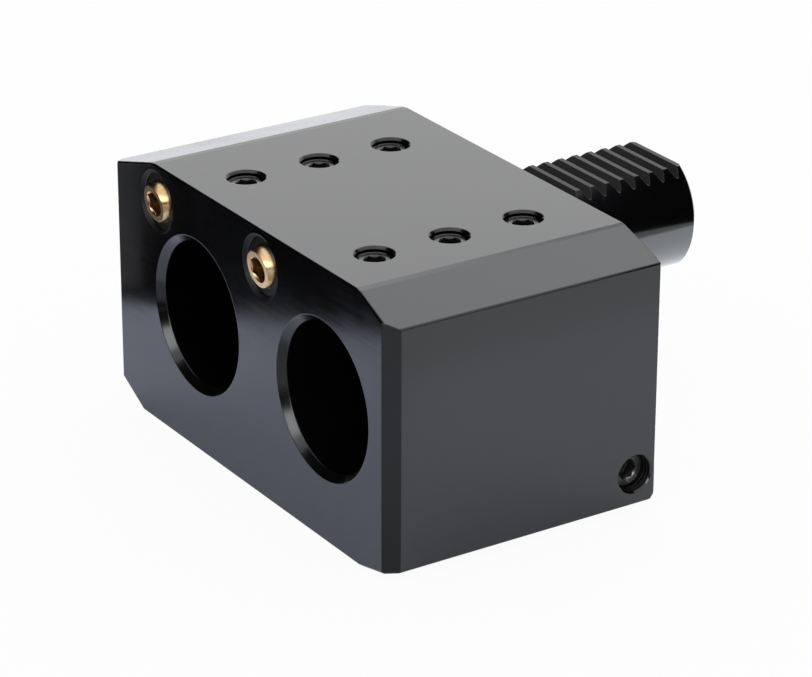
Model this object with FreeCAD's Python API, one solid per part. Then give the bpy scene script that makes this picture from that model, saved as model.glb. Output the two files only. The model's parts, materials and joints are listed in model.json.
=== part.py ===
import FreeCAD, Part
import math
import os

# Double boring bar holder: a block with two round bores side by side, three clamp screws over
# each bore, two aimable coolant nozzles in the front face, and a round shank with a toothed
# rack behind the left bore.
# Millimetres. The origin is on the shank's axis, in the flat rear face that meets the machine.
# +Y points along the shank, so the block and its bores are on the -Y side. +Z is up.

# Bores and clamp screws
bore_diameter = 32.0
bore_depth = 54.5
bore_spacing = 50.0             # from the left bore, on the shank's axis, to the right bore
bore_mouth_chamfer = 1.5
screws_per_bore = 3
first_screw_from_front = 12.6
last_screw_from_bore_end = 5.9
screw_diameter = 8.0
screw_length = 10.0
screw_socket_flats = 4.0
screw_socket_depth = 5.0
screw_end_chamfer = 0.8
screw_sink = 1.2                # top of a screw below the block's top, with no bar in the bore
screw_hole_countersink = 0.35

# Block, as the walls left round the bores
roof_wall = 12.75
floor_wall = 15.5
left_wall = 20.0
right_wall = 9.0
rear_wall = 11.0
top_left_bevel_width = 18.0
top_left_bevel_drop = 5.4
top_right_bevel_width = 11.5
top_right_bevel_drop = 5.0
bottom_right_bevel_width = 11.5
bottom_right_bevel_rise = 2.4
bottom_left_bevel_width = 11.5
bottom_left_bevel_rise = 6.1
front_corner_chamfer = 2.75
rear_top_bevel_length = 1.5
rear_top_bevel_drop = 5.0
rear_bottom_bevel_length = 3.1
rear_bottom_bevel_rise = 4.1
edge_break = 0.4
long_edge_break = 0.13          # along the block, measured square to the edge

# Shank and rack
shank_diameter = 30.0
shank_length = 55.0
shank_end_chamfer = 0.5
rack_start = 17.0               # from the rear face
rack_flat_depth = 3.0           # tooth tips below the round
rack_pitch = 4.0
rack_tooth_depth = 2.0
rack_tip_land = 1.2
rack_flank_angle = 30.0         # each flank from the upright
shank_groove_from_face = 1.8
shank_groove_width = 3.2
shank_groove_depth = 2.1
centre_hole_mouth = 6.3
centre_hole_pilot = 2.5
centre_hole_pilot_depth = 6.0
centre_hole_angle = 60.0

# Coolant nozzles
left_nozzle_beside_bore = 0.4   # nozzle's axis left of the left bore's wall
right_nozzle_beside_bore = 7.6  # nozzle's axis left of the right bore's wall
nozzle_above_bore = 4.4         # nozzle's axis above the top of the bores
ball_diameter = 10.0
ball_face_diameter = 8.0        # flat that the socket is cut in
ball_proud = 0.6                # this flat in front of the front face, when aimed straight ahead
nozzle_aim_down = 8.0           # degrees below straight ahead
nozzle_socket_flats = 5.0
nozzle_socket_depth = 3.0
nozzle_jet = 2.5
nozzle_inlet_flare = 5.0
ring_wall = 1.2                 # round the ball
ring_sink = 0.9                 # front of the ring behind the front face
ring_behind_centre = 1.5
ring_slot_width = 1.5
ring_slot_depth = 0.8
ring_mouth_chamfer = 0.7
nozzle_seal_section = 1.6
seal_sides = 8                  # of a seal ring's section

# Coolant channels, inlet and plugs
channel_diameter = 5.0
gallery_diameter = 6.0
gallery_below_bore = 6.25
gallery_from_rear = 5.25
riser_from_rear = 7.0           # the risers run into the gallery's near side
inlet_x = 12.0
inlet_diameter = 8.0
inlet_depth = 12.0
inlet_seal_section = 2.0
inlet_seal_inside = 9.2         # inner diameter of the face seal
side_plug_diameter = 8.0
bottom_plug_diameter = 6.0
plug_length = 5.0
plug_end_chamfer = 0.4
side_plug_sink = 2.8
bottom_plug_sink = 0.6
side_plug_socket_flats = 4.0
bottom_plug_socket_flats = 3.0
plug_socket_depth = 2.8
plug_mouth_countersink = 0.35
plug_hole_spare = 0.1           # thread past the plug's inner end

# Clearances
thread_clearance = 0.03         # between a threaded piece and its hole, each side
ball_clearance = 0.05           # round the ball, so that it swivels
seal_clearance = 0.02           # seals as squeezed, flush with what they sit in
drill_point_angle = 118.0

# Worked out from the above
bore_radius = bore_diameter / 2
block_length = bore_depth + rear_wall
front = -block_length
left = -(bore_radius + left_wall)
right = bore_spacing + bore_radius + right_wall
top = bore_radius + roof_wall
bottom = -(bore_radius + floor_wall)
bore_axes = {"left": 0.0, "right": bore_spacing}

screw_radius = screw_diameter / 2
screw_tip = top - screw_sink - screw_length
screw_spacing = (bore_depth - first_screw_from_front - last_screw_from_bore_end) / (screws_per_bore - 1)
screw_places = ["front", "middle", "rear"]

shank_radius = shank_diameter / 2
rack_tip = shank_radius - rack_flat_depth
rack_root = rack_tip - rack_tooth_depth
rack_flank = rack_tooth_depth * math.tan(math.radians(rack_flank_angle))

ball_radius = ball_diameter / 2
ball_face_y = front - ball_proud
ball_y = ball_face_y + math.sqrt(ball_radius ** 2 - (ball_face_diameter / 2) ** 2)
ring_radius = ball_radius + ball_clearance + ring_wall
ring_back = ball_y + ring_behind_centre
nozzle_z = bore_radius + nozzle_above_bore
nozzle_axes = {
    "left": -(bore_radius + left_nozzle_beside_bore),
    "right": bore_spacing - (bore_radius + right_nozzle_beside_bore),
}
seal_mean = ball_radius - nozzle_seal_section
seal_reach = ball_radius + ball_clearance + nozzle_seal_section / 2
seal_y = ball_y + math.sqrt(seal_reach ** 2 - seal_mean ** 2)
seal_floor = seal_y + nozzle_seal_section / 2

gallery_y = -gallery_from_rear
riser_y = -riser_from_rear
gallery_z = -(bore_radius + gallery_below_bore)
gallery_radius = gallery_diameter / 2
channel_radius = channel_diameter / 2
inlet_seal_outside = inlet_seal_inside + 2 * inlet_seal_section

V = FreeCAD.Vector
ACROSS = V(1, 0, 0)
ALONG = V(0, 1, 0)
UP = V(0, 0, 1)
BEYOND = 2 * (block_length + shank_length + right - left)    # longer than the whole holder
OVERRUN = 1.0                                                # how far a cutter passes a face


def rod(radius, start, direction, length):
    """Round bar from a point along a direction."""
    return Part.makeCylinder(radius, length, start, direction)


def cone(radius_1, radius_2, start, direction, length):
    return Part.makeCone(radius_1, radius_2, length, start, direction)


def countersink(radius, size, mouth, inward):
    """Cutter for a 45 degree chamfer at a hole's mouth."""
    outer = radius + size + OVERRUN
    return cone(outer, outer - size - OVERRUN, mouth - inward * OVERRUN, inward, size + OVERRUN)


def drill(radius, mouth, inward, depth):
    """Blind hole with a drill's pointed end."""
    point = radius / math.tan(math.radians(drill_point_angle / 2))
    shaft = rod(radius, mouth - inward * OVERRUN, inward, depth + OVERRUN)
    return shaft.fuse(cone(radius, 0, mouth + inward * depth, inward, point))


def hexagon(flats, start, direction, depth, corner):
    """Six-sided prism, with one corner along the given direction."""
    reach = flats / math.sqrt(3)
    side = direction.cross(corner)
    points = []
    for step in range(7):
        turn = math.radians(60 * step)
        points.append(start + corner * (reach * math.cos(turn)) + side * (reach * math.sin(turn)))
    return Part.Face(Part.makePolygon(points)).extrude(direction * depth)


def hex_socket(flats, mouth, inward, depth, corner):
    """Cutter for a hexagon socket with a pointed bottom and a chamfered rim."""
    flat_reach = flats / 2
    corner_reach = flats / math.sqrt(3)
    pocket = hexagon(flats, mouth - inward * OVERRUN, inward, depth + OVERRUN, corner)
    point = flat_reach / math.tan(math.radians(drill_point_angle / 2))
    pocket = pocket.fuse(cone(flat_reach, 0, mouth + inward * depth, inward, point))
    return pocket.fuse(countersink(flat_reach, corner_reach - flat_reach, mouth, inward))


def trim(solid, point, outward):
    """Remove all that lies beyond a plane."""
    block = Part.makeBox(BEYOND, BEYOND, BEYOND, V(-BEYOND / 2, -BEYOND / 2, 0))
    block.Placement = FreeCAD.Placement(point, FreeCAD.Rotation(UP, outward))
    return solid.cut(block)


def chamfered_rod(radius, chamfer, start, direction, length):
    """Round bar with a chamfer at both ends."""
    middle = rod(radius, start + direction * chamfer, direction, length - 2 * chamfer)
    low = cone(radius - chamfer, radius, start, direction, chamfer)
    high = cone(radius, radius - chamfer, start + direction * (length - chamfer), direction, chamfer)
    return middle.fuse([low, high]).removeSplitter()


# The block

def block_outline():
    """Corners of the block seen from the front, clockwise from the top left."""
    return [
        V(left + top_left_bevel_width, front, top),
        V(right - top_right_bevel_width, front, top),
        V(right, front, top - top_right_bevel_drop),
        V(right, front, bottom + bottom_right_bevel_rise),
        V(right - bottom_right_bevel_width, front, bottom),
        V(left + bottom_left_bevel_width, front, bottom),
        V(left, front, bottom + bottom_left_bevel_rise),
        V(left, front, top - top_left_bevel_drop),
    ]


def make_block():
    corners = block_outline()
    block = Part.Face(Part.makePolygon(corners + corners[:1])).extrude(ALONG * block_length)

    # bevels and chamfers, each cut by one plane
    block = trim(block, V(left + front_corner_chamfer, front, 0), V(-1, -1, 0))
    block = trim(block, V(right - front_corner_chamfer, front, 0), V(1, -1, 0))
    block = trim(block, V(0, -rear_top_bevel_length, top), V(0, rear_top_bevel_drop, rear_top_bevel_length))
    underside = V(0, rear_bottom_bevel_rise, -rear_bottom_bevel_length)
    block = trim(block, V(0, -rear_bottom_bevel_length, bottom), underside)

    # fine edge break round the front and rear faces and along the block
    normals = []
    for corner, following in zip(corners, corners[1:] + corners[:1]):
        normals.append((following - corner).cross(ALONG).normalize())
    for number, corner in enumerate(corners):
        normal = normals[number]
        previous = normals[number - 1]
        block = trim(block, corner - normal * edge_break, normal - ALONG)
        block = trim(block, corner - normal * edge_break + ALONG * block_length, normal + ALONG)
        between = V(normal + previous).normalize()
        block = trim(block, corner - between * long_edge_break, between)
    return block


# The shank

def rack_cutter():
    """What the cutter removes above the rack's teeth, counted from the shank's end."""
    high = shank_radius + OVERRUN
    end = shank_length
    profile = [V(0, end + OVERRUN, high), V(0, end + OVERRUN, rack_tip)]
    gaps = int((shank_length - rack_start - rack_tip_land) / rack_pitch)
    for gap in range(gaps):
        tip_edge = end - rack_tip_land - gap * rack_pitch
        next_tip = tip_edge - (rack_pitch - rack_tip_land)
        profile.append(V(0, tip_edge, rack_tip))
        profile.append(V(0, tip_edge - rack_flank, rack_root))
        profile.append(V(0, next_tip + rack_flank, rack_root))
        profile.append(V(0, next_tip, rack_tip))
    profile.append(V(0, rack_start, rack_tip))
    profile.append(V(0, rack_start, high))
    profile.append(profile[0])
    face = Part.Face(Part.makePolygon(profile))
    face.translate(ACROSS * -shank_diameter)
    return face.extrude(ACROSS * 2 * shank_diameter)


def make_shank():
    # a plain and a toothed length, so that the full round's wall ends where the rack starts
    straight = shank_length - shank_end_chamfer
    shank = rod(shank_radius, V(0, -rear_wall / 2, 0), ALONG, rack_start + rear_wall / 2)
    shank = shank.fuse(rod(shank_radius, V(0, rack_start, 0), ALONG, straight - rack_start))
    tip_radius = shank_radius - shank_end_chamfer
    shank = shank.fuse(cone(shank_radius, tip_radius, V(0, straight, 0), ALONG, shank_end_chamfer))
    shank = shank.cut(rack_cutter())

    # groove of the seal that meets the machine's bore
    floor_radius = shank_radius - shank_groove_depth
    groove_start = V(0, shank_groove_from_face, 0)
    groove = rod(shank_radius + OVERRUN, groove_start, ALONG, shank_groove_width)
    shank = shank.cut(groove.cut(rod(floor_radius, groove_start, ALONG, shank_groove_width)))

    # centre hole in the end, from turning and grinding
    end = V(0, shank_length, 0)
    mouth_radius = centre_hole_mouth / 2
    pilot_radius = centre_hole_pilot / 2
    flare = (mouth_radius - pilot_radius) / math.tan(math.radians(centre_hole_angle / 2))
    shank = shank.cut(cone(mouth_radius, pilot_radius, end, -ALONG, flare))
    return shank.cut(drill(pilot_radius, end, -ALONG, centre_hole_pilot_depth))


# Holes in the holder

def bore_cutters():
    cutters = []
    for x in bore_axes.values():
        mouth = V(x, front, 0)
        cutters.append(rod(bore_radius, mouth - ALONG * OVERRUN, ALONG, bore_depth + OVERRUN))
        cutters.append(countersink(bore_radius, bore_mouth_chamfer, mouth, ALONG))
    return cutters


def screw_y(number):
    return front + first_screw_from_front + number * screw_spacing


def screw_hole_cutters():
    hole_radius = screw_radius + thread_clearance
    cutters = []
    for x in bore_axes.values():
        for number in range(screws_per_bore):
            mouth = V(x, screw_y(number), top)
            cutters.append(rod(hole_radius, mouth + UP * OVERRUN, -UP, OVERRUN + roof_wall + screw_radius))
            cutters.append(countersink(hole_radius, screw_hole_countersink, mouth, -UP))
    return cutters


def nozzle_pocket_cutters():
    """Threaded mouth, room for the ball, seat of the seal, and the channel to the gallery."""
    thread_radius = ring_radius + thread_clearance
    ball_room = ball_radius + ball_clearance
    seat_radius = seal_mean + nozzle_seal_section / 2 + seal_clearance
    cutters = []
    for x in nozzle_axes.values():
        mouth = V(x, front, nozzle_z)
        before = mouth - ALONG * OVERRUN
        cutters.append(rod(thread_radius, before, ALONG, OVERRUN + ring_back - front))
        cutters.append(countersink(thread_radius, ring_mouth_chamfer, mouth, ALONG))
        cutters.append(rod(ball_room, before, ALONG, OVERRUN + seal_y - nozzle_seal_section - front))
        cutters.append(rod(seat_radius, before, ALONG, OVERRUN + seal_floor - front))
        cutters.append(rod(channel_radius, before, ALONG, OVERRUN + riser_y - front))
    return cutters


def plug_places():
    """Mouth, inward direction, sink, diameter and socket of each plug of the coolant channels."""
    mouth = V(right, gallery_y, gallery_z)
    places = {"side": (mouth, -ACROSS, side_plug_sink, side_plug_diameter, side_plug_socket_flats)}
    for side, x in nozzle_axes.items():
        mouth = V(x, riser_y, bottom)
        places["bottom_" + side] = (
            mouth, UP, bottom_plug_sink, bottom_plug_diameter, bottom_plug_socket_flats
        )
    return places


def coolant_cutters():
    """Gallery drilled across the block, two risers to the nozzles, inlet, and plug threads."""
    cutters = [drill(gallery_radius, V(right, gallery_y, gallery_z), -ACROSS, right - nozzle_axes["left"])]
    for x in nozzle_axes.values():
        riser_length = nozzle_z + channel_radius - bottom
        cutters.append(drill(channel_radius, V(x, riser_y, bottom), UP, riser_length))
    inlet = V(inlet_x, 0, gallery_z)
    cutters.append(drill(inlet_diameter / 2, inlet, -ALONG, inlet_depth))
    seat_radius = inlet_seal_outside / 2 + seal_clearance
    cutters.append(rod(seat_radius, inlet + ALONG * OVERRUN, -ALONG, inlet_seal_section + OVERRUN))
    for mouth, inward, sink, diameter, flats in plug_places().values():
        thread_radius = diameter / 2 + thread_clearance
        depth = sink + plug_length + plug_hole_spare
        cutters.append(rod(thread_radius, mouth - inward * OVERRUN, inward, depth + OVERRUN))
        cutters.append(countersink(thread_radius, plug_mouth_countersink, mouth, inward))
    return cutters


def holder_body():
    body = make_block().removeSplitter().fuse(make_shank())
    return body.cut(bore_cutters() + screw_hole_cutters() + nozzle_pocket_cutters() + coolant_cutters())


# Pieces fitted to the holder

def clamp_screw(x, y):
    """Flat-pointed set screw with a hexagon socket."""
    foot = V(x, y, screw_tip)
    screw = chamfered_rod(screw_radius, screw_end_chamfer, foot, UP, screw_length)
    head = foot + UP * screw_length
    return screw.cut(hex_socket(screw_socket_flats, head, -UP, screw_socket_depth, ALONG))


def nozzle_ball(x):
    """Brass ball with a flat face, a hexagon socket in it and a through hole, turned to its aim."""
    centre = V(x, ball_y, nozzle_z)
    face = V(x, ball_face_y, nozzle_z)
    ball = trim(Part.makeSphere(ball_radius, centre, ALONG), face, -ALONG)
    socket = hex_socket(nozzle_socket_flats, face, ALONG, nozzle_socket_depth, UP)
    jet = rod(nozzle_jet / 2, face, ALONG, ball_diameter)
    back = centre + ALONG * ball_radius
    flare_length = (nozzle_inlet_flare - nozzle_jet) / 2
    flare = cone(nozzle_inlet_flare / 2, nozzle_jet / 2, back, -ALONG, flare_length)
    return ball.cut([socket, jet, flare]).rotated(centre, ACROSS, nozzle_aim_down)


def nozzle_ring(x):
    """Threaded ring whose hollow face holds the ball."""
    start = V(x, front + ring_sink, nozzle_z)
    length = ring_back - start.y
    centre = V(x, ball_y, nozzle_z)
    seat_radius = ball_radius + ball_clearance
    ring = rod(ring_radius, start, ALONG, length)
    behind = rod(seat_radius, centre, ALONG, length)
    ring = ring.cut([behind, Part.makeSphere(seat_radius, centre, ALONG)])
    slot = Part.makeBox(2 * ring_radius, ring_slot_depth, ring_slot_width)
    slot.translate(start - V(ring_radius, 0, ring_slot_width / 2))
    return ring.cut(slot)


def seal_ring(mean_radius, section, centre):
    """Seal ring flattened on every side, as it is when squeezed."""
    half_turn = math.pi / seal_sides
    reach = section / 2 / math.cos(half_turn)
    points = []
    for step in range(seal_sides + 1):
        turn = half_turn * (2 * step + 1)
        points.append(centre + V(mean_radius + reach * math.cos(turn), reach * math.sin(turn), 0))
    return Part.Face(Part.makePolygon(points)).revolve(centre, ALONG, 360)


def coolant_plug(mouth, inward, sink, diameter, flats):
    """Short hexagon-socket plug."""
    head = mouth + inward * sink
    plug = chamfered_rod(diameter / 2, plug_end_chamfer, head, inward, plug_length)
    corner = UP if inward.z == 0 else ALONG
    return plug.cut(hex_socket(flats, head, inward, plug_socket_depth, corner))


def shank_seal():
    section = shank_groove_depth - seal_clearance
    middle = V(0, shank_groove_from_face + shank_groove_width / 2, 0)
    return seal_ring(shank_radius - shank_groove_depth + section / 2, section, middle)


def inlet_seal():
    section = inlet_seal_section - seal_clearance
    centre = V(inlet_x, -inlet_seal_section + section / 2, gallery_z)
    return seal_ring((inlet_seal_inside + inlet_seal_section) / 2, section, centre)


def all_nodes():
    nodes = {"holder_body": holder_body()}
    for side, x in bore_axes.items():
        for number in range(screws_per_bore):
            name = "clamp_screw_" + side + "_" + screw_places[number]
            nodes[name] = clamp_screw(x, screw_y(number))
    for side, x in nozzle_axes.items():
        nodes["nozzle_ball_" + side] = nozzle_ball(x)
        nodes["nozzle_ring_" + side] = nozzle_ring(x)
        nodes["nozzle_seal_" + side] = seal_ring(seal_mean, nozzle_seal_section, V(x, seal_y, nozzle_z))
    for place, measures in plug_places().items():
        nodes["coolant_plug_" + place] = coolant_plug(*measures)
    nodes["shank_seal"] = shank_seal()
    nodes["inlet_seal"] = inlet_seal()
    return nodes


os.makedirs("parts", exist_ok=True)
for name, shape in all_nodes().items():
    shape.exportStep("parts/" + name + ".step")
    print(name, "volume", round(shape.Volume, 1), "solids", len(shape.Solids), "valid", shape.isValid())
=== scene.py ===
# %% [markdown]
# # A double boring bar holder, dressed for its photograph
#
# The CAD part is already exact: a blackened steel block with two bores, six clamp screws, two brass
# coolant nozzles and a shank with a toothed rack. It comes in as a fixed frame. This lesson adds what a
# camera sees and a solid model leaves out: threads, round seal rings, the grain that each machine left
# in the steel, the thin black coat on it and the edges where that coat has worn through.

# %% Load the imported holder
import json
import math

import bmesh
import bpy
from mathutils import Matrix, Vector


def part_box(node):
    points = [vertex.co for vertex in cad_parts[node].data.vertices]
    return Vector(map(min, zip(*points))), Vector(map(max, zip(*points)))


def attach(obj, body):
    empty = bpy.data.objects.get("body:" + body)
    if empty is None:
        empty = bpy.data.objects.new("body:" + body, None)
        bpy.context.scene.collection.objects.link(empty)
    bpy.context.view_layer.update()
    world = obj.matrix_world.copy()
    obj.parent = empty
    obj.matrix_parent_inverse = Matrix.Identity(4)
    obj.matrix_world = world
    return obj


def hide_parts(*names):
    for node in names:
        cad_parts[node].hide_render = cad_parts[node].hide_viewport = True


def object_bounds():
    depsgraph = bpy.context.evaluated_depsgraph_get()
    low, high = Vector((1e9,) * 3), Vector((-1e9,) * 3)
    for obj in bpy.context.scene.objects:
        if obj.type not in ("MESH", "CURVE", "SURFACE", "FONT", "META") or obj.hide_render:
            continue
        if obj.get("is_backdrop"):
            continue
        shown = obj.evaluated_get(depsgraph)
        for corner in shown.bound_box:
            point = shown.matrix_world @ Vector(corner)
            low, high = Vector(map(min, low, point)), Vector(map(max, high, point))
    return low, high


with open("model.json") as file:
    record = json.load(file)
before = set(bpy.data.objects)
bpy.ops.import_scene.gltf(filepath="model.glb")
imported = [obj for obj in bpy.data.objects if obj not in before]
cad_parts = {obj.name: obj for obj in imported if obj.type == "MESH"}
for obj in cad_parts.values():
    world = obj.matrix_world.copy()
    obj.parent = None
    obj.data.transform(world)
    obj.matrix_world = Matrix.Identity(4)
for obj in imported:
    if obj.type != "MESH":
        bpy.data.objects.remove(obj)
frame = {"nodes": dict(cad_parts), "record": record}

cad_box = [list(corner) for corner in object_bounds()]
nodes = frame["nodes"]
MM = 0.001
print("pieces from the CAD model:", len(nodes))
print("box in mm:", [[round(value / MM, 2) for value in corner] for corner in cad_box])

# %% [markdown]
# The finishes depend on where a face is: the bores are honed round, the shank is ground round and the
# block's sides are ground flat. All those places follow from the boxes of the CAD pieces and from the
# mounts in the record, so nothing here has to be measured twice.

# %% Read the main places from the frame
mounts = {mount["name"]: mount for mount in frame["record"]["mounts"]}
front_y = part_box("holder_body")[0].y
floor_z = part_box("holder_body")[0].z
right_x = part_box("holder_body")[1].x
bore_radius = mounts["left_bore"]["dims"]["r_mm"] * MM
bore_xs = [mounts[name]["pos_m"][0] for name in ("left_bore", "right_bore")]
shank_radius = mounts["shank"]["dims"]["r_mm"] * MM
print("front face at y =", round(front_y / MM, 2), "mm")
print("bores at x =", [round(x / MM, 2) for x in bore_xs], "mm")

# %% [markdown]
# ## Threads
#
# Each clamp screw is a hexagon-socket set screw. Its thread hides in the block until the screw is
# backed out, and then it is the first thing anyone sees. A screw modifier could sweep the profile, but
# its ends stay ragged. Here the wall is one grid of points whose radius rises and falls with the helix,
# and the same rule cuts it back at both ends, so the chamfers run out through the thread as turned ones
# do.

# %% Make one ring of points and join rings into a wall
SIDES = 48


def ring_points(radius_at, height_at):
    """Points round the z axis, from a radius and a height for each angle."""
    points = []
    for step in range(SIDES):
        turn = 2 * math.pi * step / SIDES
        radius = radius_at(turn)
        points.append(Vector((radius * math.cos(turn), radius * math.sin(turn), height_at(turn))))
    return points


def add_ring(mesh, points):
    return [mesh.verts.new(point) for point in points]


def join_rings(mesh, lower, upper):
    """Quads between two rings, facing away from the axis when the upper ring is higher."""
    for step in range(SIDES):
        following = (step + 1) % SIDES
        mesh.faces.new((lower[step], lower[following], upper[following], upper[step]))


def close_ring(mesh, ring, middle, facing_up):
    centre = mesh.verts.new(middle)
    for step in range(SIDES):
        pair = (ring[step], ring[(step + 1) % SIDES])
        mesh.faces.new((*pair, centre) if facing_up else (*reversed(pair), centre))


# %% [markdown]
# A metric thread is a row of 60 degree ridges. Seen along the screw, the distance to the nearest ridge
# decides the radius, and that ridge moves up by one pitch in each turn. The crest is left a little
# flat, as a rolled thread is.

# %% Work out the thread's radius at a height and an angle
CREST_SHARE = 0.15
THREAD_DEPTH = 0.61  # of the pitch, for a metric thread


def thread_radius(outer, pitch, height, turn):
    depth = THREAD_DEPTH * pitch
    phase = (height / pitch - turn / (2 * math.pi)) % 1.0
    from_crest = abs(phase - 0.5) * 2
    fall = min(max((1 - from_crest - CREST_SHARE) / (1 - 2 * CREST_SHARE), 0), 1)
    return outer - depth * (1 - fall)


def hexagon_radius(flats, turn):
    """Distance from the middle to the side of a hexagon, with a corner at angle 0."""
    past_corner = turn % (math.pi / 3)
    return flats / 2 / math.cos(past_corner - math.pi / 6)


# %% [markdown]
# The screw is built standing on its flat point at the origin. The wall comes first, then the top with
# the hexagon socket let into it: a small round chamfer, six flat sides, and the cone that the drill
# left at the bottom. Six clamp screws and three plugs are the same thing in other sizes.

# %% Build a socket screw
ROWS_PER_PITCH = 8
SOCKET_POINT = 0.25  # depth of the drilled cone under the socket, of the width across flats


def socket_screw(name, radius, length, pitch, chamfer, flats, socket_depth):
    mesh = bmesh.new()
    rows = round(length / pitch * ROWS_PER_PITCH)
    previous = None
    for row in range(rows + 1):
        height = length * row / rows
        from_end = min(height, length - height)

        def wall(turn):
            return min(thread_radius(radius, pitch, height, turn), radius - chamfer + from_end)

        ring = add_ring(mesh, ring_points(wall, lambda turn: height))
        if previous:
            join_rings(mesh, previous, ring)
        else:
            close_ring(mesh, ring, Vector((0, 0, 0)), facing_up=False)
        previous = ring

    corner = flats / math.sqrt(3)
    bottom = length - socket_depth

    def side(turn):
        return hexagon_radius(flats, turn)

    rings = [
        (lambda turn: corner, lambda turn: length),
        (side, lambda turn: length - corner + side(turn)),
        (side, lambda turn: bottom),
        (lambda turn: flats / 2, lambda turn: bottom),
    ]
    for radius_at, height_at in rings:
        ring = add_ring(mesh, ring_points(radius_at, height_at))
        join_rings(mesh, previous, ring)
        previous = ring
    point = Vector((0, 0, bottom - flats * SOCKET_POINT))
    close_ring(mesh, previous, point, facing_up=True)
    screw = bpy.data.meshes.new(name)
    mesh.to_mesh(screw)
    mesh.free()
    return screw


# %% [markdown]
# The mesh is made once for each size and shared by all screws of that size. Each screw goes where its
# CAD node is, stands in for it, and rides on the same body, so it still travels with its joint.

# %% Put the clamp screws in place
CLAMP_PITCH = 1.25 * MM
CLAMP_CHAMFER = 0.8 * MM
CLAMP_FLATS = 4.0 * MM
CLAMP_SOCKET = 5.0 * MM

body_of_node = {}
for body, members in frame["record"]["behaviour"]["bodies"].items():
    for member in members:
        body_of_node[member] = body


def put_in_place(mesh, node, placement):
    """A piece that stands for a CAD node and rides on its body."""
    piece = bpy.data.objects.new("dressed_" + node, mesh)
    bpy.context.scene.collection.objects.link(piece)
    piece.matrix_world = placement
    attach(piece, body_of_node[node])
    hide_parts(node)
    return piece


clamp_nodes = sorted(name for name in nodes if name.startswith("clamp_screw"))
low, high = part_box(clamp_nodes[0])
clamp_mesh = socket_screw(
    "clamp_screw",
    radius=(high.x - low.x) / 2,
    length=high.z - low.z,
    pitch=CLAMP_PITCH,
    chamfer=CLAMP_CHAMFER,
    flats=CLAMP_FLATS,
    socket_depth=CLAMP_SOCKET,
)
clamp_screws = []
for name in clamp_nodes:
    low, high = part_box(name)
    foot = Vector(((low.x + high.x) / 2, (low.y + high.y) / 2, low.z))
    clamp_screws.append(put_in_place(clamp_mesh, name, Matrix.Translation(foot)))
print("clamp screws:", len(clamp_screws))
print("faces in their shared mesh:", len(clamp_mesh.polygons))

# %% [markdown]
# The coolant channels are drilled from outside and closed with short plugs. One shows low on the right
# side, and two more sit under the block. They are turned from the screw's upright pose so that each
# socket faces out of its hole.

# %% Put the channel plugs in place
PLUG_CHAMFER = 0.4 * MM
PLUG_SOCKET = 2.8 * MM
SIDE_PLUG_PITCH = 1.0 * MM
# flats and pitch of each plug, and the way that its socket faces
plug_kinds = {
    "coolant_plug_side": (4.0 * MM, SIDE_PLUG_PITCH, Vector((1, 0, 0))),
    "coolant_plug_bottom_left": (3.0 * MM, 0.75 * MM, Vector((0, 0, -1))),
    "coolant_plug_bottom_right": (3.0 * MM, 0.75 * MM, Vector((0, 0, -1))),
}
plugs = []
for name, (flats, pitch, outward) in plug_kinds.items():
    low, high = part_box(name)
    size = high - low
    length = abs(size.dot(outward))
    radius = size.y / 2
    mesh = socket_screw(name, radius, length, pitch, PLUG_CHAMFER, flats, PLUG_SOCKET)
    foot = (low + high) / 2 - outward * length / 2
    turn = outward.to_track_quat("Z", "Y").to_matrix().to_4x4()
    plugs.append(put_in_place(mesh, name, Matrix.Translation(foot) @ turn))
print("plugs:", [plug.name for plug in plugs])

# %% [markdown]
# ## Seal rings
#
# The CAD model draws each rubber ring with eight flat sides. The real ones are round, and the one on
# the shank is open to view. A torus has exactly that shape. Its outer radius comes from the node's box,
# and its section from the box's thickness along the axis.

# %% Replace the seals with round rings
SECTION_STEPS = 24
RING_STEPS = 96


def torus(name, mean_radius, section_radius):
    mesh = bmesh.new()
    rings = []
    for step in range(RING_STEPS):
        turn = 2 * math.pi * step / RING_STEPS
        ring = []
        for part in range(SECTION_STEPS):
            tilt = 2 * math.pi * part / SECTION_STEPS
            reach = mean_radius + section_radius * math.cos(tilt)
            along = section_radius * math.sin(tilt)
            place = Vector((reach * math.cos(turn), along, reach * math.sin(turn)))
            ring.append(mesh.verts.new(place))
        rings.append(ring)
    for step, ring in enumerate(rings):
        following = rings[(step + 1) % RING_STEPS]
        for part in range(SECTION_STEPS):
            after = (part + 1) % SECTION_STEPS
            mesh.faces.new((ring[part], ring[after], following[after], following[part]))
    made = bpy.data.meshes.new(name)
    mesh.to_mesh(made)
    mesh.free()
    return made


seals = []
for name in sorted(nodes):
    if "seal" in name:
        low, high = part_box(name)
        section_radius = (high.y - low.y) / 2
        mean_radius = (high.z - low.z) / 2 - section_radius
        mesh = torus(name, mean_radius, section_radius)
        seals.append(put_in_place(mesh, name, Matrix.Translation((low + high) / 2)))
print("seals:", [seal.name for seal in seals])

# %% [markdown]
# Round walls should look round. Smooth shading below a limit angle blends the small facets of a thread
# flank or a torus and keeps the real corners sharp.

# %% Smooth the new pieces
SMOOTH_LIMIT = math.radians(28)
for mesh in {piece.data for piece in clamp_screws + plugs + seals}:
    mesh.polygons.foreach_set("use_smooth", [True] * len(mesh.polygons))
    mesh.set_sharp_from_angle(angle=SMOOTH_LIMIT)
print("smoothed down to corners of", round(math.degrees(SMOOTH_LIMIT)), "degrees")

# %% [markdown]
# ## The black coat
#
# The steel is blackened in a hot salt bath. That leaves a layer of iron oxide a thousandth of a
# millimetre thick, so the marks of grinding and turning still show through it. It isn't paint: it is a
# dark skin with the gloss of oiled steel. A nearly black base with a rather high index of refraction
# gives that, because such a skin mirrors little face on and a lot at a glancing angle. That is why the
# top looks grey and the upper front black, with one and the same material.
#
# The helpers below keep the node code readable. Numbers that hold for the whole surface are set on the
# shader's own sockets.

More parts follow.
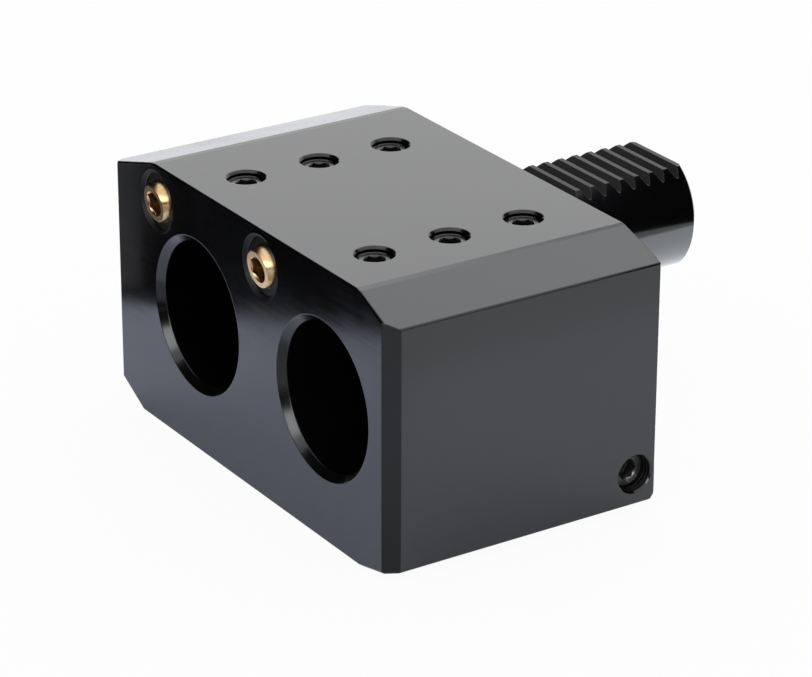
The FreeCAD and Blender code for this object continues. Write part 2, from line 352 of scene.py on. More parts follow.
# %% Helpers for node materials
def new_material(name):
    material = bpy.data.materials.new(name)
    material.use_nodes = True
    tree = material.node_tree
    tree.nodes.clear()
    output = tree.nodes.new("ShaderNodeOutputMaterial")
    shader = tree.nodes.new("ShaderNodeBsdfPrincipled")
    tree.links.new(shader.outputs["BSDF"], output.inputs["Surface"])
    return material, tree, shader


def add_node(tree, kind, inputs=None, **settings):
    """Node with its settings, and its inputs given as values or as sockets to link."""
    node = tree.nodes.new(kind)
    for key, value in settings.items():
        setattr(node, key, value)
    for key, value in (inputs or {}).items():
        if isinstance(value, bpy.types.NodeSocket):
            tree.links.new(value, node.inputs[key])
        else:
            node.inputs[key].default_value = value
    return node


def noise(tree, vector, scale, detail=2.0, roughness=0.5):
    inputs = {"Vector": vector, "Scale": scale, "Detail": detail, "Roughness": roughness}
    return add_node(tree, "ShaderNodeTexNoise", inputs).outputs["Fac"]


def ramp(tree, value, low, high, to_low=0.0, to_high=1.0):
    inputs = {"Value": value, "From Min": low, "From Max": high, "To Min": to_low, "To Max": to_high}
    return add_node(tree, "ShaderNodeMapRange", inputs).outputs["Result"]


def math_node(tree, operation, first, second):
    node = add_node(tree, "ShaderNodeMath", operation=operation)
    for socket, value in zip(node.inputs, (first, second)):
        if isinstance(value, bpy.types.NodeSocket):
            tree.links.new(value, socket)
        else:
            socket.default_value = value
    return node.outputs["Value"]


def mix_colours(tree, share, first, second):
    node = add_node(tree, "ShaderNodeMix", data_type="RGBA")
    sockets = [node.inputs[0], node.inputs[6], node.inputs[7]]
    for socket, value in zip(sockets, (share, first, second)):
        if isinstance(value, bpy.types.NodeSocket):
            tree.links.new(value, socket)
        else:
            socket.default_value = value
    return node.outputs[2]


def add_bump(tree, shader, inputs):
    bump = add_node(tree, "ShaderNodeBump", inputs)
    tree.links.new(bump.outputs["Normal"], shader.inputs["Normal"])


def stretched_place(tree, scale):
    """The surface's own place in metres, stretched so that noise turns into streaks."""
    place = add_node(tree, "ShaderNodeTexCoord").outputs["Object"]
    return add_node(tree, "ShaderNodeMapping", {"Vector": place, "Scale": scale}).outputs["Vector"]


# %% [markdown]
# Coats wear first where hands and bins rub them: on the corners. A Bevel node averages the normal over
# a small radius, so it differs from the true normal only near an edge. That difference, broken up by
# noise, is where bare steel glints through. The same averaged normal feeds the bump, which rounds every
# edge a little, as tumbling does.

# %% Find the edges of a piece
BEVEL_SAMPLES = 6


def bevelled_normal(tree, radius):
    bevel = add_node(tree, "ShaderNodeBevel", {"Radius": radius}, samples=BEVEL_SAMPLES)
    return bevel.outputs["Normal"]


def edge_mask(tree, radius, wear_scale, lowest, highest):
    """How worn the surface is, from 0 to 1, and the normal that rounds its edges."""
    rounded = bevelled_normal(tree, radius)
    true_normal = add_node(tree, "ShaderNodeNewGeometry").outputs["Normal"]
    agreement = add_node(tree, "ShaderNodeVectorMath", operation="DOT_PRODUCT")
    tree.links.new(rounded, agreement.inputs[0])
    tree.links.new(true_normal, agreement.inputs[1])
    difference = math_node(tree, "SUBTRACT", 1.0, agreement.outputs["Value"])
    place = add_node(tree, "ShaderNodeTexCoord").outputs["Object"]
    broken = ramp(tree, noise(tree, place, wear_scale, 4.0, 0.65), 0.35, 0.7, 0.25, 1.0)
    worn = ramp(tree, math_node(tree, "MULTIPLY", difference, broken), lowest, highest)
    return worn, rounded


# %% [markdown]
# One function makes every blackened steel. What changes from face to face is the direction of the
# grain: long streaks across the block where a grinding wheel passed, and fine rings round the shank and
# in the bores where the work or the tool turned. Streaks are noise whose place is stretched along one
# direction. The rack is left as milled, so its grain is coarser and its coat paler and duller.

# %% Make blackened steel with a given grain
BLACK = (0.0012, 0.0012, 0.0013, 1)
BLACK_BLUE = (0.0030, 0.0031, 0.0038, 1)
COOL_SHEEN = (0.95, 0.965, 1.0, 1)
BARE_STEEL = (0.30, 0.30, 0.31, 1)
COAT_TONES = (BLACK, BLACK_BLUE)
MILLED_TONES = ((0.018, 0.018, 0.017, 1), (0.030, 0.030, 0.029, 1))
CLOUD_SCALE = 38.0  # features to the metre, as in all noise below
SPECKLE_SCALE = 2600.0
COAT_WEAR_SCALE = 420.0


def blackened(
    name, grain_scale, grain_depth, roughness, edge_radius=0.1 * MM, gloss=1.70, tones=COAT_TONES
):
    """Black coat over streaks. Gloss is the index of refraction."""
    material, tree, shader = new_material(name)
    place = add_node(tree, "ShaderNodeTexCoord").outputs["Object"]
    clouds = ramp(tree, noise(tree, place, CLOUD_SCALE, 3.0, 0.55), 0.3, 0.7)
    speckle = noise(tree, place, SPECKLE_SCALE, 2.0)
    streaks = noise(tree, stretched_place(tree, grain_scale), 1.0, 3.0, 0.6)
    worn, rounded = edge_mask(tree, edge_radius, COAT_WEAR_SCALE, 0.10, 0.42)

    coat = mix_colours(tree, clouds, *tones)
    tree.links.new(mix_colours(tree, worn, coat, BARE_STEEL), shader.inputs["Base Color"])
    tree.links.new(ramp(tree, worn, 0.0, 1.0, 0.0, 0.8), shader.inputs["Metallic"])
    cloudy = ramp(tree, clouds, 0, 1, -0.03, 0.05)
    streaky = ramp(tree, streaks, 0.3, 0.7, -0.03, 0.03)
    unevenness = math_node(tree, "ADD", cloudy, streaky)
    tree.links.new(math_node(tree, "ADD", unevenness, roughness), shader.inputs["Roughness"])
    height = math_node(tree, "ADD", streaks, math_node(tree, "MULTIPLY", speckle, 0.35))
    add_bump(tree, shader, {"Height": height, "Distance": grain_depth, "Normal": rounded})
    shader.inputs["IOR"].default_value = gloss
    shader.inputs["Specular Tint"].default_value = COOL_SHEEN
    return material


# name, grain, its depth and roughness, then what differs from the usual
steel_flat = blackened(
    "blackened_steel_ground_flat", (60.0, 2400.0, 2400.0), 0.0012 * MM, 0.13, edge_radius=0.3 * MM
)
steel_turned = blackened(
    "blackened_steel_ground_round", (60.0, 3000.0, 60.0), 0.001 * MM, 0.12
)
steel_bored = blackened(
    "blackened_steel_bored", (90.0, 2200.0, 90.0), 0.004 * MM, 0.17, edge_radius=0.3 * MM
)
steel_milled = blackened(
    "blackened_steel_milled", (60.0, 900.0, 900.0), 0.02 * MM, 0.48, gloss=1.40, tones=MILLED_TONES
)
steel_dull = blackened(
    "blackened_steel_dull", (600.0, 600.0, 600.0), 0.01 * MM, 0.50, gloss=1.45
)
print("finishes of the block:", steel_flat.name, steel_turned.name, steel_bored.name)
print("duller ones:", steel_milled.name, steel_dull.name)

# %% [markdown]
# The walls of the tapped holes carry a thread too, but they belong to the block, whose mesh stays as it
# is. The screws also travel through them, so no second mesh can stand there. Less than three
# millimetres of them show at rest, above the screws and before the side plug, so there a bump does:
# ridges at the thread's pitch along the hole's axis.

# %% Make the tapped walls
RING_PITCH = 1.0 * MM


def tapped(name, axis, pitch, depth=0.9, roughness=0.18):
    """Ridges along an axis. Their depth is a share of the pitch."""
    material, tree, shader = new_material(name)
    place = add_node(tree, "ShaderNodeTexCoord").outputs["Object"]
    along = add_node(tree, "ShaderNodeSeparateXYZ", {0: place}).outputs[axis]
    turns = math_node(tree, "MULTIPLY", along, 1 / pitch)
    ridges = math_node(tree, "PINGPONG", turns, 0.5)
    oil = noise(tree, place, 1200.0, 3.0)
    tree.links.new(mix_colours(tree, oil, BLACK, BLACK_BLUE), shader.inputs["Base Color"])
    tree.links.new(ramp(tree, oil, 0.3, 0.7, roughness, roughness + 0.12), shader.inputs["Roughness"])
    height = math_node(tree, "ADD", ridges, math_node(tree, "MULTIPLY", oil, 0.05))
    add_bump(tree, shader, {"Height": height, "Distance": depth * pitch})
    shader.inputs["IOR"].default_value = 1.66
    return material


steel_tapped_up = tapped("blackened_steel_tapped_up", "Z", CLAMP_PITCH)
steel_tapped_side = tapped("blackened_steel_tapped_side", "X", SIDE_PLUG_PITCH, 0.3, 0.36)
steel_tapped_front = tapped("blackened_steel_tapped_front", "Y", RING_PITCH)
tapped_steels = [steel_tapped_up, steel_tapped_side, steel_tapped_front]
print("tapped walls:", [steel.name for steel in tapped_steels])

# %% [markdown]
# The body is one piece of steel with four finishes and the tapped holes, so its faces are shared out
# between them. A face behind the rear face of the block belongs to the shank, and there the rack is
# left as milled. A face whose middle lies on a bore's wall is bored, and one that lies round a screw is
# tapped. The mouths of the nozzles' pockets are dull with dried oil. All others were ground flat.

# %% Share the body's faces out between the finishes
WALL_MARGIN = 0.3 * MM
BORE_REACH = 2 * MM  # past the bore's wall, to take in its mouth's chamfer
POCKET_REACH = 1 * MM  # past the ring, to take in its pocket's chamfer
# how much of a face's normal may lie along an axis, or has to
HARDLY_ANY = 0.01
LITTLE = 0.1
MOST = 0.8
SLOPING = (0.5, 0.9)

finishes = [steel_flat, steel_turned, steel_bored, steel_milled, *tapped_steels, steel_dull]
FLAT, TURNED, BORED, AS_MILLED, TAPPED_UP, TAPPED_SIDE, TAPPED_FRONT, DULL = range(len(finishes))


def holes_of(prefix, axis):
    """Middle, radius and axis of the holes round the pieces whose names start with a prefix."""
    holes = []
    for name in nodes:
        if name.startswith(prefix):
            low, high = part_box(name)
            width = max(high[side] - low[side] for side in range(3) if not axis[side])
            holes.append(((low + high) / 2, width / 2, axis))
    return holes


tapped_holes = {
    TAPPED_UP: holes_of("clamp_screw", Vector((0, 0, 1))),
    TAPPED_SIDE: holes_of("coolant_plug_side", Vector((1, 0, 0))),
    TAPPED_FRONT: holes_of("nozzle_ring", Vector((0, 1, 0))),
}


def shank_finish(centre, normal):
    at_wall = math.hypot(centre.x, centre.z) > shank_radius - WALL_MARGIN
    if at_wall and abs(normal.y) < MOST:
        return TURNED
    in_rack = centre.z > shank_radius / 2 and abs(normal.x) < HARDLY_ANY
    return AS_MILLED if in_rack else TURNED


def hole_finish(centre, normal):
    """Finish of a face in or round a tapped hole, or None where there is no hole."""
    for finish, holes in tapped_holes.items():
        for middle, radius, axis in holes:
            offset = centre - middle
            offset -= axis * offset.dot(axis)
            if abs(offset.length - radius) < WALL_MARGIN and abs(normal.dot(axis)) < LITTLE:
                return finish
            in_mouth = radius < offset.length < radius + POCKET_REACH
            if finish == TAPPED_FRONT and in_mouth and SLOPING[0] < -normal.y < SLOPING[1]:
                return DULL
    return None


def finish_of(polygon):
    centre, normal = polygon.center, polygon.normal
    if centre.y > WALL_MARGIN:
        return shank_finish(centre, normal)
    if any(math.hypot(centre.x - x, centre.z) < bore_radius + BORE_REACH for x in bore_xs):
        return BORED
    found = hole_finish(centre, normal)
    return FLAT if found is None else found


body_mesh = nodes["holder_body"].data
body_mesh.materials.clear()
for steel in finishes:
    body_mesh.materials.append(steel)
chosen = [finish_of(polygon) for polygon in body_mesh.polygons]
body_mesh.polygons.foreach_set("material_index", chosen)
for index, steel in enumerate(finishes):
    print(steel.name, "on", chosen.count(index), "faces")

# %% [markdown]
# ## Screws, rings, plugs and rubber
#
# The screws are blackened too, but they are rolled and bought in, so their coat is a little browner and
# their edges are rubbed bright. The side plug has been turned in with a key more than once: its edges
# show it, and beside its socket the key has rubbed a ragged spot bare. Rubber is dull, with the faint
# skin of the mould.

# %% Make the small pieces' finishes
SMALL_EDGE = 0.18 * MM
SPOT_RAGGEDNESS = 0.5 * MM
SPOT_REACH = (0.9 * MM, 1.5 * MM)  # bare up to the first, black again at the second


def worn_spot(tree, place, spot):
    """How bare the surface is round a spot in the piece's own coordinates."""
    from_spot = add_node(tree, "ShaderNodeVectorMath", {0: place}, operation="DISTANCE")
    from_spot.inputs[1].default_value = spot
    grain = noise(tree, place, 1300.0, 4.0, 0.7)
    ragged = ramp(tree, grain, 0.3, 0.7, -SPOT_RAGGEDNESS, SPOT_RAGGEDNESS)
    reach = math_node(tree, "ADD", from_spot.outputs["Value"], ragged)
    return ramp(tree, reach, *SPOT_REACH, 1.0, 0.0)


def small_steel(name, dark, light, roughness, wear, gloss=1.5, bare_spot=None):
    """Patchy black steel. Wear is where it starts and where it's full, for the edges."""
    material, tree, shader = new_material(name)
    place = add_node(tree, "ShaderNodeTexCoord").outputs["Object"]
    patches = ramp(tree, noise(tree, place, 700.0, 3.0, 0.6), 0.3, 0.7)
    worn, rounded = edge_mask(tree, SMALL_EDGE, 1500.0, *wear)
    if bare_spot:
        worn = math_node(tree, "MAXIMUM", worn, worn_spot(tree, place, bare_spot))
    coat = mix_colours(tree, patches, dark, light)
    tree.links.new(mix_colours(tree, worn, coat, BARE_STEEL), shader.inputs["Base Color"])
    tree.links.new(ramp(tree, worn, 0.0, 1.0, 0.0, 0.9), shader.inputs["Metallic"])
    smooth_or_rough = ramp(tree, patches, 0.0, 1.0, roughness - 0.05, roughness + 0.07)
    tree.links.new(smooth_or_rough, shader.inputs["Roughness"])
    grit = noise(tree, place, 5200.0, 2.0)
    add_bump(tree, shader, {"Height": grit, "Distance": 0.004 * MM, "Normal": rounded})
    shader.inputs["IOR"].default_value = gloss
    return material


low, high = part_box("coolant_plug_side")
plug_length = high.x - low.x
screw_steel = small_steel(
    "screw_steel", (0.008, 0.008, 0.008, 1), (0.016, 0.015, 0.015, 1), 0.20, (0.16, 0.50), gloss=1.75
)
ring_steel = small_steel(
    "ring_steel", (0.005, 0.005, 0.005, 1), (0.010, 0.010, 0.011, 1), 0.30, (0.20, 0.60)
)
plug_steel = small_steel(
    "plug_steel", (0.006, 0.006, 0.006, 1), (0.060, 0.056, 0.048, 1), 0.30, (0.04, 0.20),
    bare_spot=(1.05 * MM, -2.05 * MM, plug_length),
)


def rubber(name):
    material, tree, shader = new_material(name)
    place = add_node(tree, "ShaderNodeTexCoord").outputs["Object"]
    skin = noise(tree, place, 900.0, 4.0, 0.6)
    patches = ramp(tree, skin, 0.3, 0.7)
    shade = mix_colours(tree, patches, (0.010, 0.010, 0.010, 1), (0.022, 0.022, 0.021, 1))
    tree.links.new(shade, shader.inputs["Base Color"])
    tree.links.new(ramp(tree, skin, 0.3, 0.7, 0.5, 0.68), shader.inputs["Roughness"])
    add_bump(tree, shader, {"Height": skin, "Distance": 0.01 * MM})
    return material


seal_rubber = rubber("seal_rubber")
small_finishes = [screw_steel, ring_steel, plug_steel, seal_rubber]
print("small finishes:", [finish.name for finish in small_finishes])

# %% [markdown]
# ## Brass
#
# The two nozzles are the only colour on the holder. They are turned from brass rod, so the tool's path
# leaves fine rings round the nozzle's axis. The distance from that axis drives a wave, and a wave of
# distance is a set of rings. Both nozzles point a little down, at the tool. A Vector Rotate node turns
# their places back to straight ahead, so the rings stay true to the axis. Brass is a metal, so its
# colour is the colour of its reflections, and the thin brown tarnish gathers where nothing rubs it off,
# which is in the socket.

# %% Make turned brass for a nozzle
BRASS = (0.74, 0.47, 0.20, 1)
BRASS_PALE = (0.85, 0.63, 0.36, 1)
TARNISH = (0.085, 0.034, 0.012, 1)
SOCKET_REACH = 3.0 * MM
RING_SPACING = 0.16 * MM


def turned_brass(name, pivot, aim_down, face_distance):
    """Brass turned round an axis that is aimed down from straight ahead about a pivot."""
    material, tree, shader = new_material(name)
    place = add_node(tree, "ShaderNodeTexCoord").outputs["Object"]
    straight = add_node(tree, "ShaderNodeVectorRotate", {"Vector": place}, rotation_type="X_AXIS")
    straight.inputs["Center"].default_value = pivot
    straight.inputs["Angle"].default_value = -aim_down
    turned = {0: straight.outputs["Vector"]}
    from_face = add_node(tree, "ShaderNodeVectorMath", turned, operation="SUBTRACT")
    from_face.inputs[1].default_value = (pivot.x, pivot.y - face_distance, pivot.z)
    parts = add_node(tree, "ShaderNodeSeparateXYZ", {0: from_face.outputs["Vector"]})
    squares = [math_node(tree, "POWER", parts.outputs[axis], 2.0) for axis in ("X", "Z")]
    distance = math_node(tree, "SQRT", math_node(tree, "ADD", squares[0], squares[1]), 0.0)
    along = math_node(tree, "ADD", distance, parts.outputs["Y"])
    waves = math_node(tree, "MULTIPLY", along, 2 * math.pi / RING_SPACING)
    rings = math_node(tree, "SINE", waves, 0.0)

    blotches = noise(tree, place, 420.0, 4.0, 0.6)
    inside = ramp(tree, distance, 0.72 * SOCKET_REACH, SOCKET_REACH, 1.0, 0.0)
    depth = ramp(tree, parts.outputs["Y"], 0.1 * MM, 1.2 * MM)
    deep_inside = math_node(tree, "MULTIPLY", inside, depth)
    patchy = ramp(tree, blotches, 0.2, 0.6, 0.7, 1.0)
    tarnished = math_node(tree, "MULTIPLY", deep_inside, patchy)
    clean = mix_colours(tree, ramp(tree, blotches, 0.35, 0.65), BRASS, BRASS_PALE)
    tree.links.new(mix_colours(tree, tarnished, clean, TARNISH), shader.inputs["Base Color"])
    shader.inputs["Metallic"].default_value = 1.0
    tree.links.new(ramp(tree, blotches, 0.3, 0.7, 0.17, 0.30), shader.inputs["Roughness"])
    relief = {"Height": rings, "Distance": 0.0015 * MM, "Normal": bevelled_normal(tree, 0.15 * MM)}
    add_bump(tree, shader, relief)
    return material


def dress(piece, material):
    piece.data.materials.clear()
    piece.data.materials.append(material)


def nozzle_aim(side):
    """Pivot of a nozzle, its aim down at rest, and how far its flat face is from the pivot.

    It swivels as far up as down from straight ahead, so the middle of its range gives the aim.
    """
    joints = frame["record"]["behaviour"]["joints"]
    joint = next(item for item in joints if item["name"] == side + "_nozzle_tilt")
    pivot = Vector(joint["pos_m"])
    aim_down = -math.radians(sum(joint["range_deg"]) / 2)
    back = Matrix.Rotation(-aim_down, 3, "X")
    ball = nodes["nozzle_ball_" + side].data
    return pivot, aim_down, -min((back @ (vertex.co - pivot)).y for vertex in ball.vertices)


for side in ("left", "right"):
    pivot, aim_down, face_distance = nozzle_aim(side)
    brass = turned_brass("brass_" + side, pivot, aim_down, face_distance)
    dress(nodes["nozzle_ball_" + side], brass)
    dress(nodes["nozzle_ring_" + side], ring_steel)
    print("nozzle", side, "is aimed down", round(math.degrees(aim_down), 1), "degrees")
    print("its pivot is at", [round(value / MM, 2) for value in pivot], "mm")
    print("its face is", round(face_distance / MM, 2), "mm before that")
for screw in clamp_screws:
    dress(screw, screw_steel)
for plug in plugs:
    dress(plug, plug_steel)
for seal in seals:
    dress(seal, seal_rubber)

# %% [markdown]
# ## The studio
#
# A black object is lit with large pale surfaces, because all that the lens sees of it is what it
# mirrors. The floor is a white sheet. It shows the holder's soft shadow, and under Is Camera Ray it is
# close to white, as is the world. Glossy and transmission rays find the world just as white, but the
# sheet mostly as the lamps light it, which is darker.

# %% Lay the white sheet
SHEET_SIZE = 6.0
SHEET_LIFT = 0.02 * MM
SHEET_TO_CAMERA = 0.95
SHEET_TO_MIRRORS = 0.38


def white_share(tree, to_camera, to_mirrors):
    """How much of the white background camera rays find, and rays off metal or through glass."""
    path = add_node(tree, "ShaderNodeLightPath").outputs
    mirrored = math_node(tree, "MAXIMUM", path["Is Glossy Ray"], path["Is Transmission Ray"])
    seen = math_node(tree, "MULTIPLY", path["Is Camera Ray"], to_camera)
    return math_node(tree, "MAXIMUM", seen, math_node(tree, "MULTIPLY", mirrored, to_mirrors))


def sheet_material():
    material = bpy.data.materials.new("white_sheet")
    material.use_nodes = True
    tree = material.node_tree
    tree.nodes.clear()
    place = add_node(tree, "ShaderNodeTexCoord").outputs["Object"]
    fibres = ramp(tree, noise(tree, place, 900.0, 4.0, 0.6), 0.3, 0.7)
    paper = mix_colours(tree, fibres, (0.80, 0.80, 0.80, 1), (0.84, 0.84, 0.84, 1))
    matt = add_node(tree, "ShaderNodeBsdfDiffuse", {"Color": paper})
    glow = add_node(tree, "ShaderNodeEmission", {"Color": (1, 1, 1, 1), "Strength": 1.0})
    share = white_share(tree, SHEET_TO_CAMERA, SHEET_TO_MIRRORS)
    inputs = {0: share, 1: matt.outputs[0], 2: glow.outputs[0]}
    both = add_node(tree, "ShaderNodeMixShader", inputs)
    add_node(tree, "ShaderNodeOutputMaterial", {"Surface": both.outputs[0]})
    return material


def stage_plane(name, material, centre, width, depth):
    mesh = bmesh.new()
    corners = [(-1, -1), (1, -1), (1, 1), (-1, 1)]
    mesh.faces.new([mesh.verts.new((x * width / 2, y * depth / 2, 0)) for x, y in corners])
    made = bpy.data.meshes.new(name)
    mesh.to_mesh(made)
    mesh.free()
    made.materials.append(material)
    plane = bpy.data.objects.new(name, made)
    bpy.context.scene.collection.objects.link(plane)
    plane.location = centre
    plane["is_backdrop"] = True
    return plane


sheet_middle = (0, 0, floor_z - SHEET_LIFT)
sheet = stage_plane("white_sheet", sheet_material(), sheet_middle, SHEET_SIZE, SHEET_SIZE)
print("sheet of", SHEET_SIZE, "m at z =", round(sheet.location.z / MM, 2), "mm")

# %% [markdown]
# ## Cards
#
# All that one sees of black steel is what it mirrors, and a photographer shapes that with cards outside
# the picture. Here each card is seen by glossy rays only, so it doesn't show, shades nothing and lights
# nothing else: each one is a painted reflection. Black and grey ones only take light and paint shade
# into what the steel mirrors. The others also glow, as a sheet in full lamp light would, and paint
# light into it though they are no lamps. The cards themselves have no gloss, because a black card seen
# at a glancing angle would otherwise turn grey.

# %% Make cards that only gloss sees, as painted reflections
PALER = 1.25


def card_material(name, colour, glow=0.0):
    material, tree, shader = new_material(name)
    place = add_node(tree, "ShaderNodeTexCoord").outputs["Object"]
    paler = tuple(min(1.0, PALER * part) for part in colour)
    fibres = noise(tree, place, 300.0)
    tree.links.new(mix_colours(tree, fibres, (*colour, 1), (*paler, 1)), shader.inputs["Base Color"])
    shader.inputs["Roughness"].default_value = 0.9
    shader.inputs["Specular IOR Level"].default_value = 0.0
    # The glow is painted light: the card is no lamp and shows only in reflections.
    shader.inputs["Emission Color"].default_value = (*colour, 1)
    shader.inputs["Emission Strength"].default_value = glow
    return material


def turned_from_front(turn):
    """Direction on the floor, turned about the upright from straight ahead of the front face."""
    return Vector((math.sin(turn), -math.cos(turn), 0))


def make_card(name, material, centre, width, height, rotation):
    card = stage_plane(name, material, centre, width, height)
    card.rotation_euler = rotation
    card.visible_camera = False
    card.visible_diffuse = False
    card.visible_shadow = False
    card.visible_transmission = False
    card.visible_volume_scatter = False
    print(name, "is", round(width / MM), "by", round(height / MM), "mm")
    return card


def lying_card(name, material, near_edge, lift, turn, width, depth):
    """Card on the sheet, from the middle of its near edge away in a direction."""
    near_edge = Vector((near_edge[0], near_edge[1], floor_z + lift))
    centre = near_edge + turned_from_front(turn) * depth / 2
    return make_card(name, material, centre, width, depth, (0, 0, turn))


def standing_card(name, material, distance, turn, width, height):
    """Card on edge at a distance in a direction, with its face to the holder."""
    centre = turned_from_front(turn) * distance
    centre.z = floor_z + height / 2
    return make_card(name, material, centre, width, height, (math.radians(90), 0, turn))


# Painted reflections: the dark and shade cards paint shade into what the steel mirrors, and the glowing
# cards paint light into it.
painted_dark_card = card_material("card_painted_dark", (0.004, 0.004, 0.004))
painted_dim_glow_card = card_material("card_painted_dim_glow", (0.10, 0.10, 0.105), 0.8)
painted_shade_card = card_material("card_painted_shade", (0.40, 0.40, 0.415))
painted_pale_blue_glow_card = card_material("card_painted_pale_blue_glow", (0.62, 0.645, 0.765), 0.40)
painted_cool_glow_card = card_material("card_painted_cool_glow", (0.80, 0.81, 0.87), 0.20)
painted_bright_glow_card = card_material("card_painted_bright_glow", (0.97, 0.97, 1.0), 0.27)
painted_brighter_glow_card = card_material("card_painted_brighter_glow", (0.92, 0.95, 1.0), 1.55)

# %% [markdown]
# In the photograph the front face is pale and bluish below and black above, with a clear change that
# climbs towards the right. A pale blue card that glows on the sheet close by paints the pale part as a
# reflection, and a black card beyond it on the left paints the black part as painted shade. The top
# edge of the face and the lower part of the bores' mouths are black too, because they mirror a black
# card standing on the left higher up, a painted dark reflection. A small dim card that glows paints a
# strip of dark grey in that black.

# %% Lay and stand the cards before the front face
# a lying card: middle of its near edge, lift, turn, width and depth
# a standing card: distance, turn, width and height
before_front = (20 * MM, front_y + 10 * MM)
left_of_front = (97 * MM, front_y - 167 * MM)
far_left = (-137 * MM, front_y - 62 * MM)
turns = [math.radians(turn) for turn in (-39.0, -150.6, -50)]
lying_card("card_before_front", painted_pale_blue_glow_card, before_front, 0.2 * MM, 0, 0.30, 0.16)
lying_card("card_left_of_front", painted_dark_card, left_of_front, 0.5 * MM, turns[0], 0.75, 0.6)
lying_card("card_far_left", painted_dim_glow_card, far_left, 0.7 * MM, turns[1], 0.12, 0.06)
standing_card("card_wall_left", painted_dark_card, 0.65, turns[2], 1.1, 0.90)

# %% [markdown]
# The upright chamfer at the front right corner is a dark band between two lighter faces. It mirrors a
# grey card lying at the corner, which is painted shade in place of the sheet at a photographer's feet
# lying in shade. The lower part of the right face is a little paler and cooler than the rest, and a
# cool card that glows paints that as a reflection.

# %% Lay the cards at the corner and beside the right face
at_corner = (right_x - 6 * MM, front_y - 6 * MM)
beside_right = (right_x + 3 * MM, 0)
lying_card("card_at_corner", painted_shade_card, at_corner, 0.4 * MM, math.radians(33), 0.26, 0.26)
lying_card("card_right", painted_cool_glow_card, beside_right, 0.3 * MM, math.radians(90), 0.17, 0.08)

# %% [markdown]
# The shank is black above and bright along its underside, with a clear change between. A black card
# behind the shank's end paints the dark reflection, and a bright card that glows, under and behind the
# shank, paints the light one. The bevel along the left edge of the block mirrors a large glowing card
# on the sheet far behind it at a glancing angle, a painted reflection, and is nearly white.

# %% Set the cards behind the holder
REAR_TURN = math.radians(180)
WALL_GAP = 55 * MM  # from the shank's end to the black card behind it
WALL_X = 315 * MM  # the card's middle, so that it starts at the shank's right side

shank_end_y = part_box("holder_body")[1].y
behind_shank = standing_card(
    "card_wall_behind", painted_dark_card, shank_end_y + WALL_GAP, REAR_TURN, 0.6, 0.17
)
behind_shank.location.x = WALL_X
under_shank = (-10 * MM, 15 * MM)
behind_left = (-180 * MM, 105 * MM)
lying_card("card_under_shank", painted_brighter_glow_card, under_shank, 0.2 * MM, REAR_TURN, 0.16, 0.11)
lying_card("card_behind_left", painted_bright_glow_card, behind_left, 0.2 * MM, math.radians(-120), 1.6, 1.4)

# %% [markdown]
# Two soft boxes do the lighting. One stands low behind the holder on the left, where the top face
# mirrors it towards the camera, and the other hangs above and behind, where the bevel along the right
# edge mirrors it. A soft box's power is worked out from the brightness wanted on its front.

# %% Set up the soft boxes
def soft_box(name, direction, distance, width, height, brightness):
    data = bpy.data.lights.new(name, "AREA")
    data.shape = "RECTANGLE"
    data.size = width
    data.size_y = height
    data.energy = brightness * math.pi * width * height
    lamp = bpy.data.objects.new(name, data)
    bpy.context.scene.collection.objects.link(lamp)
    outward = Vector(direction).normalized()
    lamp.location = outward * distance
    lamp.rotation_mode = "QUATERNION"
    lamp.rotation_quaternion = outward.to_track_quat("Z", "Y")
    lamp.visible_camera = False
    print(name, "gives", round(data.energy, 1), "W")
    return lamp


# direction from the origin, distance, width, height and brightness
soft_box("low_box_behind", (-0.767, 0.500, 0.436), 1.3, 1.3, 0.72, 0.54)
soft_box("high_box_behind", (-0.35, 0.50, 0.96), 1.2, 0.9, 0.56, 1.12)

# %% [markdown]
# The bright glints low in the bores' mouths, in the sockets and on the brass come from a bright panel
# that stands before the holder. A black card under it paints a dark edge into the reflections. Only
# curved and sloping walls mirror them to the camera, so they bring out the chamfers and leave the flat
# faces alone.

# %% Stand a bright panel and a dark strip before the holder
PANEL_TURN = math.radians(34)
standing_card("card_under_panel", painted_dark_card, 0.9, PANEL_TURN, 1.4, 0.23)
toward_panel = turned_from_front(PANEL_TURN)
panel_direction = (toward_panel.x, toward_panel.y, 0.44)
panel = soft_box("front_panel", panel_direction, 1.0, 1.0, 0.34, 2.2)
panel.visible_diffuse = False

# %% [markdown]
# The world is white where the camera or a mirror sees it, and a dimmer grey where it only fills the
# shadows.

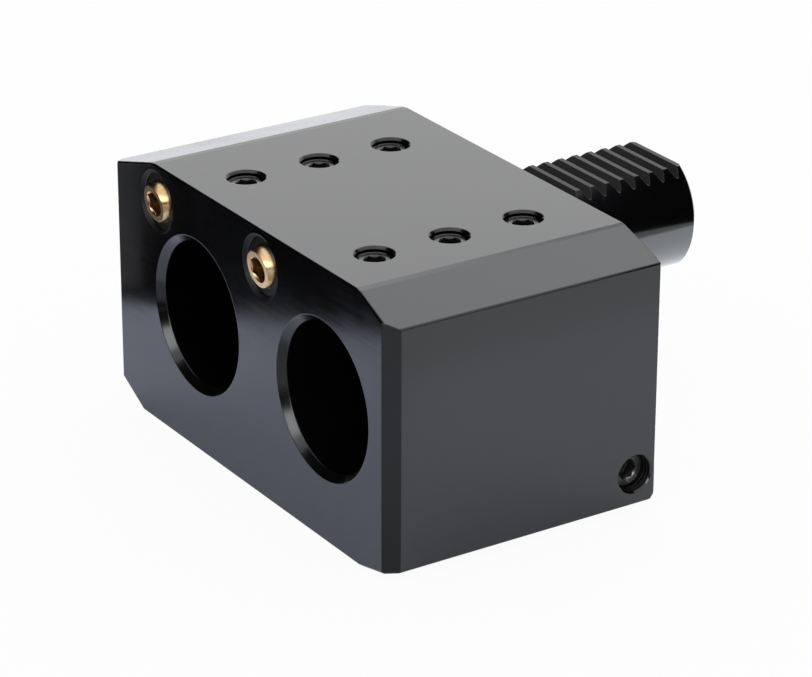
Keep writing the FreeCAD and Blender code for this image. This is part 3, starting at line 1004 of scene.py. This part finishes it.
# %% Fill the room with even light
FILL = 0.85
world = bpy.data.worlds.new("white_room")
bpy.context.scene.world = world
world.use_nodes = True
room = world.node_tree
room.nodes.clear()
white = add_node(room, "ShaderNodeBackground", {"Color": (1, 1, 1, 1), "Strength": 1.0})
fill = add_node(room, "ShaderNodeBackground", {"Color": (0.96, 0.98, 1, 1), "Strength": FILL})
rooms = {0: white_share(room, 1.0, 1.0), 1: fill.outputs[0], 2: white.outputs[0]}
both_rooms = add_node(room, "ShaderNodeMixShader", rooms)
add_node(room, "ShaderNodeOutputWorld", {"Surface": both_rooms.outputs[0]})
bpy.context.scene.view_settings.view_transform = "Standard"
print("fill light", FILL)

# %% [markdown]
# ## The camera
#
# The photograph was taken with a long lens from the front right, a little above. Its place was worked
# out from the edges and circles seen in the picture, so the camera is given as a point that it looks
# at, two angles, a distance and a very small tilt.

# %% Place the camera
AIM = Vector((13.62, -21.65, -10.59)) * MM
AZIMUTH = math.radians(56.91)
ELEVATION = math.radians(23.77)
TILT = math.radians(0.18)
DISTANCE = 784.1 * MM
LENS = 161.4

backward = Vector((
    math.cos(ELEVATION) * math.sin(AZIMUTH),
    -math.cos(ELEVATION) * math.cos(AZIMUTH),
    math.sin(ELEVATION),
))
camera_data = bpy.data.cameras.new("camera")
camera_data.lens = LENS
camera_data.sensor_fit = "HORIZONTAL"
camera_data.sensor_width = 36.0
camera = bpy.data.objects.new("camera", camera_data)
bpy.context.scene.collection.objects.link(camera)
camera.location = AIM + backward * DISTANCE
camera.rotation_mode = "QUATERNION"
upright = (-backward).to_track_quat("-Z", "Y")
camera.rotation_quaternion = Matrix.Rotation(TILT, 3, backward).to_quaternion() @ upright
bpy.context.scene.camera = camera
print("camera at", [round(value, 4) for value in camera.location])

# %% [markdown]
# Last, the visual model's box is measured again and compared with the CAD model's, and the largest
# change is printed, to show that the dressing adds nothing outside the real size.

# %% Compare the two boxes and finish
dressed_box = [list(corner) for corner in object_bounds()]
growth = max(abs(a - b) for one, other in zip(cad_box, dressed_box) for a, b in zip(one, other))
print("largest change of the box in mm:", round(growth / MM, 3))
